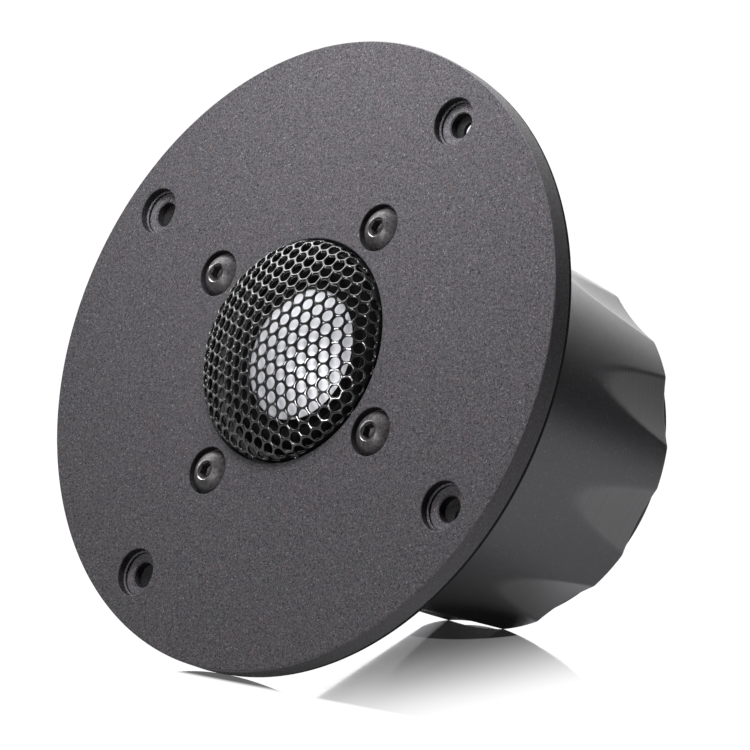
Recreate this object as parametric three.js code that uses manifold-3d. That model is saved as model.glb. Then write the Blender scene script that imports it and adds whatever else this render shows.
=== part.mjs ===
// Flange-mounted dome tweeter with a domed hexagonal grille and a fluted rear housing.
//
// Units are millimetres and +Z is up. The origin is the centre of the mounting plane, where the
// gasket meets the panel. The round parts turn about Y: the grille faces -Y and the terminals +Y.
// The dome, its former and its winding travel along Y, and everything else stands still.

import * as THREE from 'three';
import { mergeVertices } from 'three/addons/utils/BufferGeometryUtils.js';
import Module from 'manifold-3d';

const wasm = await Module();
wasm.setup();

// ---------------------------------------------------------------- driving dimensions

const ROUND = 48; // facets round a large turned part
const SMALL_ROUND = 32; // facets round a motor part
const HOLE_ROUND = 16; // facets round a screw hole
const THREAD_ROUND = 12; // facets round a threaded hole
const THROUGH = 1; // how far a cutting tool runs past the face that it opens
const CLEARANCE = 0.3; // room left round a part that sits in a hole

// front plate and its gasket
const FLANGE_RADIUS = 55;
const PLATE_FRONT = -4.5;
const GASKET_THICKNESS = 0.7;
const GASKET_INNER = 37.5;
const GASKET_OUTER = 54.9;
const GASKET_HOLE_RADIUS = 1.4;
// how far each foam hole lies off its screw, as [x, z]: they are small and cut by hand
const GASKET_HOLE_SLIPS = [
  [0.7, -0.4],
  [1.5, -0.9],
  [1.6, -0.9],
  [1.2, -0.9],
];
const PLATE_BACK = -GASKET_THICKNESS;
const OPENING_RADIUS = 19.6;
const LEDGE_RADIUS = 17.6;
const LEDGE_Y = -2.3;
const EDGE_BREAK = 0.3;

// screw patterns: both have four holes on the diagonals
const DIAGONALS = [45, 135, 225, 315];
const MOUNT_RING = 47;
const MOUNT_HOLE_RADIUS = 2.2;
const COUNTERBORE_RADIUS = 4.1;
const MOUNT_SEAT_Y = -2.4;
const MOUNT_SEAT_RADIUS = 3.78; // below a narrow step in the counterbore
const MOUNT_STEP_HEIGHT = 0.6;
const CLAMP_RING = 25.3;
const CLAMP_SEAT_Y = -2.9;
const CLAMP_HOLE_RADIUS = 2.2;
const SCREW_HEAD_RADIUS = 3.8;
const SCREW_HEAD_HEIGHT = 2.2;
const SCREW_SHANK_RADIUS = 1.85;
const SCREW_LENGTH = 10;
const SCREW_TAPER = 0.5;
const CROWN_FLAT_RADIUS = 1.9;
const CROWN_SHOULDER_RADIUS = 3;
const SOCKET_ACROSS_FLATS = 2.5;
const SOCKET_DEPTH = 1.9;

// domed grille
const GRILLE_APEX = -11;
const CROWN_RADIUS = 40;
const GRILLE_WALL_RADIUS = 19.2;
const GRILLE_CORNER = 2.5;
const GRILLE_THICKNESS = 0.5;
const CELL_PITCH = 2.4;
const CELL_WEB = 0.42;
const CELL_TURN = THREE.MathUtils.degToRad(-4.3);
const CELL_START = new THREE.Vector2(-0.82, 0.79);
const PERFORATED_RADIUS = 18; // on the flat blank, before it is pressed
const RIM_START = 17.5;
const RIM_SKIN = 0.12; // how far the solid rim wraps each side of the sheet
const CROWN_OVERLAP = 0.25; // how far the perforated sheet runs into the rim

// dome, surround and voice coil
const DOME_APEX = -6;
const DOME_SPHERE = 18.4;
const DOME_EDGE = 12.7;
const DOME_SKIN = 0.25;
const COLLAR_RADIUS = 12.9;
const COLLAR_END = 0.8;
const FORMER_INNER = 12.5;
const FORMER_OUTER = 12.65;
const COLLAR_INNER = 12.68;
const FORMER_START = -0.6;
const FORMER_ROOM = 0.1; // glue room between the former's front edge and the dome
const FORMER_END = 6.5;
const WINDING_INNER = 12.67;
const WINDING_RADIUS = 13.2;
const WINDING_START = 3.3;
const WINDING_END = 6.3;
const SURROUND_LIP = 11.5;
const SURROUND_FOLD = 12.85;
const SURROUND_FLANGE = 17.1;
const SURROUND_OUTER = 19.6;
const SEAL_RING_INNER = 17.8;
const SURROUND_THICKNESS = 0.3;
const SURROUND_ROLL = 1.9;
const SURROUND_GLUE = 0.06; // glue line between the surround's lip and the dome
const TAIL_RADIUS = 0.15;
const TAIL_GROOVE = { inner: 15, outer: 20.6, width: 1.4, depth: 0.7 };
const TAB_MIDDLE = 22.2;
const TAB_LENGTH = 4.4;
const TAB_WIDTH = 2.4;

// motor
const FRAME_FRONT = 0.3;
const FRAME_INNER = 17.3;
const FRAME_RADIUS = 21.2;
const TOP_PLATE_FRONT = 2.3;
const TOP_PLATE_BACK = 7.3;
const TOP_PLATE_RADIUS = 29.1;
const GAP_RADIUS = 13.7;
const MAGNET_BACK = 17.3;
const MAGNET_INNER = 15.5;
const MAGNET_RADIUS = 27;
const YOKE_BACK = 22.3;
const YOKE_RADIUS = 25.5;
const POLE_RADIUS = 11.8;
const VENT_RADIUS = 4;
const CAP_SKIN = 0.25;
const CAP_GLUE = 0.03;
const PAD_RADIUS = 9;
const PAD_THICKNESS = 1.2;
const YOKE_CHAMFER = 1;

// rear housing
const HOUSING_FRONT_RADIUS = 35;
const HOUSING_REAR_RADIUS = 33;
const HOUSING_REAR = 58.2;
const HOUSING_BORE = 29.4;
const THROAT_RADIUS = 21.5;
const FLUTES = 10;
const FLUTE_PHASE = 2;
const FLUTE_CUTTER = 40;
const FLUTE_FLOOR_REAR = 31.8;
const FLUTE_START = 36;
const FLUTE_CUTTER_LENGTH = 60;
const FLUTE_CUTTER_ROUND = 72;
const DAMPING_RADIUS = 26.4;
const DAMPING_FRONT = 29;
const DAMPING_BACK = 46;

// rear cap, its seal and the terminals
const CAP_RADIUS = 31;
const CAP_REAR = 60.2;
const CAP_CHAMFER = 0.5;
const CAP_RECESS_RADIUS = 17;
const CAP_RECESS_Y = 59.7;
const CAP_WINDOW = new THREE.Vector3(6, 8, 7);
const SPIGOT_FRONT = 55.2;
const SPIGOT_RADIUS = 29.1;
const SPIGOT_WALL = 2.3;
const SEAL_Y = 56.9;
const SEAL_GROOVE_RADIUS = 28;
const SEAL_MIDDLE = 28.75;
const SEAL_SECTION = 0.5;
const SEAL_FACETS = 6;
const SEAL_ROOM = 0.15;
const BOARD_SIZE = new THREE.Vector3(24, 1.6, 12);
const BLADE_X = 6;
const BLADE_THICKNESS = 0.8;
const BLADE_ROOT_THICKNESS = 1.2;
const BLADE_INNER_END = 55.4;
const BLADE_ROOT_END = 61.8;
const BLADE_OUTER_END = 69.8;
const BLADE_WIDTH = { plus: 4.8, minus: 2.8 };
const BLADE_TIP = 1.2;
const BLADE_TIP_INSET = 0.84;
const LATCH_HOLE_RADIUS = 0.75;
const LATCH_HOLE_FROM_TIP = 3.4;
const LEAD_RADIUS = 0.65;
const LEAD_TRACK = 28.15;
const LEAD_SLOT_WIDTH = 4;
const LEAD_SLOT_OUTER = 29.2;

// ---------------------------------------------------------------- solids

function toSolid(geometry) {
  const bare = geometry.clone();
  bare.deleteAttribute('normal');
  bare.deleteAttribute('uv');
  const merged = mergeVertices(bare, 1e-5);
  const index = Array.from(merged.index.array);
  const triangles = [];
  for (let i = 0; i < index.length; i += 3) {
    const [a, b, c] = index.slice(i, i + 3);
    if (a !== b && b !== c && c !== a) triangles.push(a, b, c);
  }
  return new wasm.Manifold(
    new wasm.Mesh({
      numProp: 3,
      vertProperties: new Float32Array(merged.attributes.position.array),
      triVerts: new Uint32Array(triangles),
    }),
  );
}

function toGeometry(solid) {
  const mesh = solid.getMesh();
  const geometry = new THREE.BufferGeometry();
  geometry.setAttribute('position', new THREE.BufferAttribute(mesh.vertProperties, 3));
  geometry.setIndex(new THREE.BufferAttribute(mesh.triVerts, 1));
  geometry.computeVertexNormals();
  return geometry;
}

function cut(geometry, tools) {
  let solid = toSolid(geometry);
  for (const tool of tools) solid = solid.subtract(toSolid(tool));
  return toGeometry(solid);
}

// A profile of [radius, y] points turned about Y. It closes on itself unless it ends on the axis.
function turned(profile, facets = ROUND) {
  const points = profile.map(([radius, y]) => new THREE.Vector2(radius, y));
  const last = points[points.length - 1];
  if (points[0].x > 0 || last.x > 0) points.push(points[0].clone());
  if (THREE.ShapeUtils.area(points) < 0) points.reverse();
  return new THREE.LatheGeometry(points, facets);
}

function ring(inner, outer, front, back, facets = ROUND) {
  return turned([[inner, front], [outer, front], [outer, back], [inner, back]], facets);
}

function disc(radius, front, back, facets = ROUND) {
  return turned([[0, front], [radius, front], [radius, back], [0, back]], facets);
}

// Moves a geometry from the Y axis out to a bearing, in degrees from +X towards +Z.
function placed(geometry, radius, degrees) {
  const angle = THREE.MathUtils.degToRad(degrees);
  return geometry.translate(radius * Math.cos(angle), 0, radius * Math.sin(angle));
}

// A box that runs outwards from the axis, from one radius to another, on a bearing.
function radialBox(inner, outer, width, front, back, degrees) {
  const box = new THREE.BoxGeometry(outer - inner, back - front, width);
  box.translate((inner + outer) / 2, (front + back) / 2, 0);
  return box.rotateY(-THREE.MathUtils.degToRad(degrees));
}

function tube(points, radius, steps, sides) {
  const section = new THREE.Shape();
  section.absarc(0, 0, radius, 0, 2 * Math.PI);
  const path = new THREE.CatmullRomCurve3(points.map((point) => new THREE.Vector3(...point)));
  return new THREE.ExtrudeGeometry(section, {
    steps,
    curveSegments: sides / 2,
    extrudePath: path,
  });
}

// ---------------------------------------------------------------- front plate, gasket, screws

function frontPlate() {
  const body = turned([
    [LEDGE_RADIUS, PLATE_BACK],
    [LEDGE_RADIUS, LEDGE_Y],
    [OPENING_RADIUS, LEDGE_Y],
    [OPENING_RADIUS, PLATE_FRONT + EDGE_BREAK],
    [OPENING_RADIUS + EDGE_BREAK, PLATE_FRONT],
    [FLANGE_RADIUS - EDGE_BREAK, PLATE_FRONT],
    [FLANGE_RADIUS, PLATE_FRONT + EDGE_BREAK],
    [FLANGE_RADIUS, PLATE_BACK],
  ]);
  const tools = [];
  for (const bearing of DIAGONALS) {
    const bores = [
      [MOUNT_RING, COUNTERBORE_RADIUS, PLATE_FRONT, MOUNT_SEAT_Y - MOUNT_STEP_HEIGHT],
      [MOUNT_RING, MOUNT_SEAT_RADIUS, MOUNT_SEAT_Y - MOUNT_STEP_HEIGHT, MOUNT_SEAT_Y],
      [MOUNT_RING, MOUNT_HOLE_RADIUS, MOUNT_SEAT_Y, PLATE_BACK + THROUGH],
      [CLAMP_RING, COUNTERBORE_RADIUS, PLATE_FRONT, CLAMP_SEAT_Y],
      [CLAMP_RING, CLAMP_HOLE_RADIUS, CLAMP_SEAT_Y, PLATE_BACK + THROUGH],
    ];
    for (const [ringRadius, radius, mouth, end] of bores) {
      tools.push(placed(disc(radius, mouth - THROUGH, end, HOLE_ROUND), ringRadius, bearing));
    }
  }
  return cut(body, tools);
}

function baffleGasket() {
  const body = ring(GASKET_INNER, GASKET_OUTER, PLATE_BACK, 0);
  const holes = DIAGONALS.map((bearing, index) => {
    const hole = disc(GASKET_HOLE_RADIUS, PLATE_BACK - THROUGH, THROUGH, HOLE_ROUND);
    const [x, z] = GASKET_HOLE_SLIPS[index];
    return placed(hole, MOUNT_RING, bearing).translate(x, 0, z);
  });
  return cut(body, holes);
}

function diaphragmGasket() {
  const back = surroundFront(SURROUND_OUTER);
  return ring(SEAL_RING_INNER, SURROUND_OUTER, PLATE_BACK, back, SMALL_ROUND);
}

// A button-head screw that points along +Y from a seat at y = 0.
function buttonScrew() {
  const body = turned(
    [
      [0, -SCREW_HEAD_HEIGHT],
      [CROWN_FLAT_RADIUS, -SCREW_HEAD_HEIGHT],
      [CROWN_SHOULDER_RADIUS, -SCREW_HEAD_HEIGHT * 0.75],
      [SCREW_HEAD_RADIUS, -SCREW_HEAD_HEIGHT * 0.25],
      [SCREW_HEAD_RADIUS, 0],
      [SCREW_SHANK_RADIUS, 0],
      [SCREW_SHANK_RADIUS, SCREW_LENGTH - SCREW_TAPER],
      [SCREW_SHANK_RADIUS - SCREW_TAPER, SCREW_LENGTH],
      [0, SCREW_LENGTH],
    ],
    HOLE_ROUND,
  );
  const corner = SOCKET_ACROSS_FLATS / 2 / Math.cos(Math.PI / 6);
  const socketFloor = SOCKET_DEPTH - SCREW_HEAD_HEIGHT;
  return cut(body, [disc(corner, -SCREW_HEAD_HEIGHT - THROUGH, socketFloor, 6)]);
}

// ---------------------------------------------------------------- grille

// The flat blank of the crown: a disc with hexagonal holes on a turned hexagonal lattice.
function crownBlank(blankRadius) {
  const blank = new THREE.Shape();
  blank.absarc(0, 0, blankRadius, 0, 2 * Math.PI);
  const hexRadius = (CELL_PITCH - CELL_WEB) / Math.sqrt(3);
  const reach = Math.ceil(blankRadius / CELL_PITCH) + 2;
  for (let column = -reach; column <= reach; column += 1) {
    for (let row = -reach; row <= reach; row += 1) {
      const cell = new THREE.Vector2(
        (column * CELL_PITCH * Math.sqrt(3)) / 2,
        (row + (column % 2 === 0 ? 0 : 0.5)) * CELL_PITCH,
      );
      cell.rotateAround(new THREE.Vector2(), CELL_TURN).add(CELL_START);
      if (cell.length() + hexRadius < PERFORATED_RADIUS) {
        const hole = new THREE.Path();
        hole.setFromPoints(hexagon(cell, hexRadius));
        blank.holes.push(hole);
      }
    }
  }
  return new THREE.ExtrudeGeometry(blank, {
    depth: GRILLE_THICKNESS,
    bevelEnabled: false,
    curveSegments: ROUND / 2,
  });
}

function hexagon(centre, radius) {
  const corners = [];
  for (let i = 0; i < 6; i += 1) {
    const angle = CELL_TURN + (i * Math.PI) / 3;
    const corner = new THREE.Vector2(Math.cos(angle), Math.sin(angle));
    corners.push(corner.multiplyScalar(radius).add(centre));
  }
  return corners;
}

// Presses the flat blank onto the crown's sphere, so that lengths along the sheet are kept.
function pressed(geometry) {
  const position = geometry.attributes.position;
  for (let i = 0; i < position.count; i += 1) {
    const flat = new THREE.Vector2(position.getX(i), position.getY(i));
    const shell = CROWN_RADIUS - position.getZ(i);
    const tilt = flat.length() / CROWN_RADIUS;
    const out = flat.clone().setLength(shell * Math.sin(tilt));
    position.setXYZ(i, out.x, GRILLE_APEX + CROWN_RADIUS - shell * Math.cos(tilt), out.y);
  }
  return geometry;
}

// The solid rim: it wraps the crown's edge, turns the corner and drops to the plate's ledge.
function grilleRim() {
  const cornerX = GRILLE_WALL_RADIUS - GRILLE_CORNER;
  const centre = GRILLE_APEX + CROWN_RADIUS;
  const cornerY = centre - Math.sqrt((CROWN_RADIUS - GRILLE_CORNER) ** 2 - cornerX ** 2);
  const start = Math.atan2(centre - cornerY, cornerX);
  const inset = GRILLE_THICKNESS + 2 * RIM_SKIN;
  const onCrown = (radius, offset) => {
    const tilt = Math.asin(radius / CROWN_RADIUS);
    const shell = CROWN_RADIUS + offset;
    return [shell * Math.sin(tilt), centre - shell * Math.cos(tilt)];
  };
  const onCorner = (share, offset) => {
    const angle = start * (1 - share);
    const reach = GRILLE_CORNER + offset;
    return [cornerX + reach * Math.cos(angle), cornerY - reach * Math.sin(angle)];
  };
  const shares = [0, 0.5, 1];
  return turned([
    onCrown(RIM_START, RIM_SKIN),
    ...shares.map((share) => onCorner(share, RIM_SKIN)),
    [GRILLE_WALL_RADIUS + RIM_SKIN, LEDGE_Y],
    [GRILLE_WALL_RADIUS + RIM_SKIN - inset, LEDGE_Y],
    ...shares.reverse().map((share) => onCorner(share, RIM_SKIN - inset)),
    onCrown(RIM_START, RIM_SKIN - inset),
  ]);
}

function grille() {
  const crown = toSolid(pressed(crownBlank(PERFORATED_RADIUS + CROWN_OVERLAP)));
  return toGeometry(crown.add(toSolid(grilleRim())));
}

// ---------------------------------------------------------------- diaphragm and suspension

function sphereY(sphere, radius) {
  return DOME_APEX + DOME_SPHERE - Math.sqrt(sphere ** 2 - radius ** 2);
}

function dome() {
  const steps = [0, 0.3, 0.55, 0.8];
  const front = steps.map((step) => [step * DOME_EDGE, sphereY(DOME_SPHERE, step * DOME_EDGE)]);
  const innerSphere = DOME_SPHERE - DOME_SKIN;
  const inside = steps.map((step) => [step * DOME_EDGE, sphereY(innerSphere, step * DOME_EDGE)]);
  const edgeY = sphereY(DOME_SPHERE, DOME_EDGE);
  return turned(
    [
      ...front,
      [DOME_EDGE, edgeY],
      [COLLAR_RADIUS, edgeY + 0.75 * (COLLAR_RADIUS - DOME_EDGE)],
      [COLLAR_RADIUS, COLLAR_END],
      [COLLAR_INNER, COLLAR_END],
      [COLLAR_INNER, FORMER_START - FORMER_ROOM],
      [FORMER_INNER, FORMER_START - 2 * FORMER_ROOM],
      ...inside.reverse(),
    ],
    SMALL_ROUND,
  );
}

function coilFormer() {
  return ring(FORMER_INNER, FORMER_OUTER, FORMER_START, FORMER_END, SMALL_ROUND);
}

function coilWinding() {
  return ring(WINDING_INNER, WINDING_RADIUS, WINDING_START, WINDING_END, SMALL_ROUND);
}

// Front of the surround: a lip on the dome, a half roll, and a flat flange.
function surroundFront(radius) {
  const onDome = (at) => sphereY(DOME_SPHERE, Math.min(at, DOME_EDGE));
  const lip = (at) => onDome(at) - SURROUND_THICKNESS - SURROUND_GLUE;
  if (radius <= SURROUND_FOLD) return lip(radius);
  if (radius >= SURROUND_FLANGE) return 0;
  const share = (radius - SURROUND_FOLD) / (SURROUND_FLANGE - SURROUND_FOLD);
  return lip(SURROUND_FOLD) * (1 - share) - SURROUND_ROLL * Math.sin(Math.PI * share);
}

function surround() {
  const radii = [SURROUND_LIP];
  const rollSteps = 6;
  for (let i = 0; i <= rollSteps; i += 1) {
    radii.push(THREE.MathUtils.lerp(SURROUND_FOLD, SURROUND_FLANGE, i / rollSteps));
  }
  radii.push(SURROUND_OUTER);
  const front = radii.map((radius) => [radius, surroundFront(radius)]);
  const back = radii.map((radius) => [radius, surroundFront(radius) + SURROUND_THICKNESS]);
  return turned([...front, ...back.reverse()], SMALL_ROUND);
}

function diaphragmFrame() {
  const body = ring(FRAME_INNER, FRAME_RADIUS, FRAME_FRONT, TOP_PLATE_FRONT, SMALL_ROUND);
  const { inner, outer, width, depth } = TAIL_GROOVE;
  const grooves = [0, 180].map((bearing) =>
    radialBox(inner, outer, width, FRAME_FRONT - THROUGH, FRAME_FRONT + depth, bearing),
  );
  return cut(body, grooves);
}

// A fine wire from the winding, under the surround and through the frame's groove to its tab.
function coilTail(side) {
  const track = [[13, 3.1], [13.15, 2], [13.45, 1.3], [14.4, 0.8], [16.5, 0.65], [20.3, 0.65]];
  return tube(track.map(([x, y]) => [side * x, y, 0]), TAIL_RADIUS, 10, 6);
}

function coilTab(side) {
  const tab = new THREE.BoxGeometry(TAB_LENGTH, FRAME_FRONT, TAB_WIDTH);
  return tab.translate(side * TAB_MIDDLE, FRAME_FRONT / 2, 0);
}

// ---------------------------------------------------------------- motor

function topPlate() {
  const body = ring(GAP_RADIUS, TOP_PLATE_RADIUS, TOP_PLATE_FRONT, TOP_PLATE_BACK, SMALL_ROUND);
  const front = TOP_PLATE_FRONT - THROUGH;
  const back = TOP_PLATE_BACK + THROUGH;
  const threads = DIAGONALS.map((bearing) =>
    placed(disc(SCREW_SHANK_RADIUS + CLEARANCE, front, back, THREAD_ROUND), CLAMP_RING, bearing),
  );
  const notches = [0, 180].map((bearing) =>
    radialBox(MAGNET_RADIUS, TOP_PLATE_RADIUS + THROUGH, LEAD_SLOT_WIDTH, front, back, bearing),
  );
  return cut(body, [...threads, ...notches]);
}

function magnet() {
  return ring(MAGNET_INNER, MAGNET_RADIUS, TOP_PLATE_BACK, MAGNET_BACK, SMALL_ROUND);
}

function poleYoke() {
  return turned(
    [
      [VENT_RADIUS, TOP_PLATE_FRONT],
      [POLE_RADIUS, TOP_PLATE_FRONT],
      [POLE_RADIUS, MAGNET_BACK],
      [YOKE_RADIUS, MAGNET_BACK],
      [YOKE_RADIUS, YOKE_BACK - YOKE_CHAMFER],
      [YOKE_RADIUS - YOKE_CHAMFER, YOKE_BACK],
      [VENT_RADIUS, YOKE_BACK],
    ],
    SMALL_ROUND,
  );
}

function copperCap() {
  const inner = POLE_RADIUS + CAP_GLUE;
  return turned(
    [
      [VENT_RADIUS, TOP_PLATE_FRONT - CAP_SKIN],
      [inner + CAP_SKIN, TOP_PLATE_FRONT - CAP_SKIN],
      [inner + CAP_SKIN, TOP_PLATE_BACK],
      [inner, TOP_PLATE_BACK],
      [inner, TOP_PLATE_FRONT],
      [VENT_RADIUS, TOP_PLATE_FRONT],
    ],
    SMALL_ROUND,
  );
}

function polePad() {
  const back = TOP_PLATE_FRONT - CAP_SKIN;
  return ring(VENT_RADIUS, PAD_RADIUS, back - PAD_THICKNESS, back, SMALL_ROUND);
}

// ---------------------------------------------------------------- rear housing and cap

// A long cylinder that leans inwards towards the rear, so that it bites deepest at the rear rim.
function fluteCutter(bearing) {
  const startRadius = housingRadius(FLUTE_START);
  const lean = Math.atan2(startRadius - FLUTE_FLOOR_REAR, HOUSING_REAR - FLUTE_START);
  const cutter = new THREE.CylinderGeometry(
    FLUTE_CUTTER,
    FLUTE_CUTTER,
    FLUTE_CUTTER_LENGTH,
    FLUTE_CUTTER_ROUND,
  );
  cutter.rotateZ(lean);
  const middle = (startRadius + FLUTE_FLOOR_REAR) / 2 + FLUTE_CUTTER / Math.cos(lean);
  cutter.translate(middle, (FLUTE_START + HOUSING_REAR) / 2, 0);
  return cutter.rotateY(-THREE.MathUtils.degToRad(bearing));
}

function housingRadius(y) {
  return THREE.MathUtils.lerp(HOUSING_FRONT_RADIUS, HOUSING_REAR_RADIUS, y / HOUSING_REAR);
}

function rearHousing() {
  const body = turned([
    [THROAT_RADIUS, PLATE_BACK],
    [HOUSING_FRONT_RADIUS - EDGE_BREAK, PLATE_BACK],
    [HOUSING_FRONT_RADIUS, PLATE_BACK + EDGE_BREAK],
    [HOUSING_REAR_RADIUS, HOUSING_REAR - EDGE_BREAK],
    [HOUSING_REAR_RADIUS - EDGE_BREAK, HOUSING_REAR],
    [HOUSING_BORE, HOUSING_REAR],
    [HOUSING_BORE, TOP_PLATE_FRONT],
    [THROAT_RADIUS, TOP_PLATE_FRONT],
  ]);
  const front = PLATE_BACK - THROUGH;
  const back = TOP_PLATE_FRONT + THROUGH;
  const holes = DIAGONALS.map((bearing) =>
    placed(disc(CLAMP_HOLE_RADIUS, front, back, HOLE_ROUND), CLAMP_RING, bearing),
  );
  const leadSlots = [0, 180].map((bearing) =>
    radialBox(THROAT_RADIUS - THROUGH, LEAD_SLOT_OUTER, LEAD_SLOT_WIDTH, front, back, bearing),
  );
  const flutes = [];
  for (let i = 0; i < FLUTES; i += 1) flutes.push(fluteCutter(FLUTE_PHASE + (i * 360) / FLUTES));
  return cut(body, [...holes, ...leadSlots, ...flutes]);
}

function rearCap() {
  const sealSpan = SEAL_SECTION + SEAL_ROOM;
  const body = turned([
    [0, CAP_RECESS_Y],
    [0, HOUSING_REAR],
    [SPIGOT_RADIUS - SPIGOT_WALL, HOUSING_REAR],
    [SPIGOT_RADIUS - SPIGOT_WALL, SPIGOT_FRONT],
    [SPIGOT_RADIUS, SPIGOT_FRONT],
    [SPIGOT_RADIUS, SEAL_Y - sealSpan],
    [SEAL_GROOVE_RADIUS, SEAL_Y - sealSpan],
    [SEAL_GROOVE_RADIUS, SEAL_Y + sealSpan],
    [SPIGOT_RADIUS, SEAL_Y + sealSpan],
    [SPIGOT_RADIUS, HOUSING_REAR],
    [CAP_RADIUS, HOUSING_REAR],
    [CAP_RADIUS, CAP_REAR - CAP_CHAMFER],
    [CAP_RADIUS - CAP_CHAMFER, CAP_REAR],
    [CAP_RECESS_RADIUS, CAP_REAR],
    [CAP_RECESS_RADIUS, CAP_RECESS_Y],
  ]);
  const windows = [-1, 1].map((side) => {
    const window = new THREE.BoxGeometry(...CAP_WINDOW.toArray());
    return window.translate(side * BLADE_X, CAP_RECESS_Y, 0);
  });
  return cut(body, windows);
}

function chamberDamping() {
  return disc(DAMPING_RADIUS, DAMPING_FRONT, DAMPING_BACK, SMALL_ROUND);
}

function capSeal() {
  const section = [];
  for (let i = 0; i < SEAL_FACETS; i += 1) {
    const angle = (i * 2 * Math.PI) / SEAL_FACETS;
    const radius = SEAL_MIDDLE + SEAL_SECTION * Math.cos(angle);
    section.push([radius, SEAL_Y + SEAL_SECTION * Math.sin(angle)]);
  }
  return turned(section, SMALL_ROUND);
}

function terminalBoard() {
  const body = new THREE.BoxGeometry(...BOARD_SIZE.toArray());
  body.translate(0, CAP_RECESS_Y + BOARD_SIZE.y / 2, 0);
  const slots = Object.entries(BLADE_WIDTH).map(([pole, width]) => {
    const slot = new THREE.BoxGeometry(
      BLADE_ROOT_THICKNESS + CLEARANCE,
      4 * BOARD_SIZE.y,
      width + CLEARANCE,
    );
    return slot.translate(bladeX(pole), CAP_RECESS_Y, 0);
  });
  return cut(body, slots);
}

function bladeX(pole) {
  return pole === 'plus' ? BLADE_X : -BLADE_X;
}

// A flat push-on blade with a pointed outer end and a latch hole, on a thicker root.
function terminalBlade(pole) {
  const half = BLADE_WIDTH[pole] / 2;
  const shoulder = BLADE_OUTER_END - BLADE_TIP;
  const outline = new THREE.Shape();
  outline.moveTo(-half, BLADE_ROOT_END);
  outline.lineTo(half, BLADE_ROOT_END);
  outline.lineTo(half, shoulder);
  outline.lineTo(half - BLADE_TIP_INSET, BLADE_OUTER_END);
  outline.lineTo(BLADE_TIP_INSET - half, BLADE_OUTER_END);
  outline.lineTo(-half, shoulder);
  outline.closePath();
  const hole = new THREE.Path();
  hole.absarc(0, BLADE_OUTER_END - LATCH_HOLE_FROM_TIP, LATCH_HOLE_RADIUS, 0, 2 * Math.PI);
  outline.holes.push(hole);
  const blade = new THREE.ExtrudeGeometry(outline, {
    depth: BLADE_THICKNESS,
    bevelEnabled: false,
    curveSegments: 6,
  });
  blade.translate(0, 0, -BLADE_THICKNESS / 2);
  blade.rotateY(Math.PI / 2);
  const rootLength = BLADE_ROOT_END - BLADE_INNER_END;
  const root = new THREE.BoxGeometry(BLADE_ROOT_THICKNESS, rootLength, 2 * half);
  root.translate(0, BLADE_INNER_END + rootLength / 2, 0);
  const joined = toSolid(root).add(toSolid(blade));
  return toGeometry(joined).translate(bladeX(pole), 0, 0);
}

// A hook-up wire from the coil tab, back past the magnet, and in to its blade.
function lead(side) {
  const track = [
    [TAB_MIDDLE + 2, 0.95],
    [26.2, 0.95],
    [27.9, 2],
    [LEAD_TRACK, 5],
    [LEAD_TRACK, 14],
    [LEAD_TRACK, 26],
    [LEAD_TRACK, 38],
    [LEAD_TRACK - 0.3, 46],
    [24.5, 50.8],
    [16, 52.3],
    [9.5, 52.4],
    [BLADE_X + 0.6, 53.1],
    [BLADE_X, 55.1],
  ];
  return tube(track.map(([x, y]) => [side * x, y, 0]), LEAD_RADIUS, 30, 8);
}

// ---------------------------------------------------------------- materials and assembly

function finish(color, roughness, metalness) {
  return new THREE.MeshStandardMaterial({ color, roughness, metalness });
}

const finishes = {
  texturedCoat: finish(0x3b3b3d, 0.75, 0.1),
  anodised: finish(0x2e2e31, 0.4, 0.7),
  glossBlack: finish(0x141416, 0.25, 0.5),
  blackSteel: finish(0x4a4a4d, 0.35, 0.8),
  silver: finish(0xd8d8da, 0.25, 0.9),
  cloth: finish(0x2a2a2b, 0.9, 0),
  foam: finish(0x1c1c1d, 0.95, 0),
  plastic: finish(0x232325, 0.6, 0),
  film: finish(0xb98a3c, 0.5, 0),
  copper: finish(0xb87049, 0.3, 0.95),
  steel: finish(0x9a9a9c, 0.45, 0.9),
  ferrite: finish(0x37373a, 0.7, 0.2),
  felt: finish(0x6c6a66, 1, 0),
  brass: finish(0xc9a85c, 0.35, 0.9),
  board: finish(0x4b3422, 0.6, 0),
  redWire: finish(0xa02320, 0.5, 0),
  blackWire: finish(0x1a1a1a, 0.5, 0),
};

const tweeter = new THREE.Group();

function add(name, geometry, material) {
  const mesh = new THREE.Mesh(geometry, material.clone());
  mesh.name = name;
  tweeter.add(mesh);
  return mesh;
}

add('front_plate', frontPlate(), finishes.texturedCoat);
add('baffle_gasket', baffleGasket(), finishes.foam);
add('grille', grille(), finishes.glossBlack);
DIAGONALS.forEach((degrees, i) => {
  const bearing = THREE.MathUtils.degToRad(degrees);
  const screw = add(`plate_screw_${i + 1}`, buttonScrew(), finishes.blackSteel);
  screw.position.set(CLAMP_RING * Math.cos(bearing), CLAMP_SEAT_Y, CLAMP_RING * Math.sin(bearing));
});

add('dome', dome(), finishes.silver);
add('surround', surround(), finishes.cloth);
add('diaphragm_gasket', diaphragmGasket(), finishes.foam);
add('diaphragm_frame', diaphragmFrame(), finishes.plastic);
add('coil_former', coilFormer(), finishes.film);
add('coil_winding', coilWinding(), finishes.copper);

add('top_plate', topPlate(), finishes.steel);
add('magnet', magnet(), finishes.ferrite);
add('pole_yoke', poleYoke(), finishes.steel);
add('pole_cap', copperCap(), finishes.copper);
add('pole_pad', polePad(), finishes.felt);

add('rear_housing', rearHousing(), finishes.anodised);
add('chamber_damping', chamberDamping(), finishes.felt);
add('rear_cap', rearCap(), finishes.anodised);
add('cap_seal', capSeal(), finishes.foam);
add('terminal_board', terminalBoard(), finishes.board);

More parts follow.
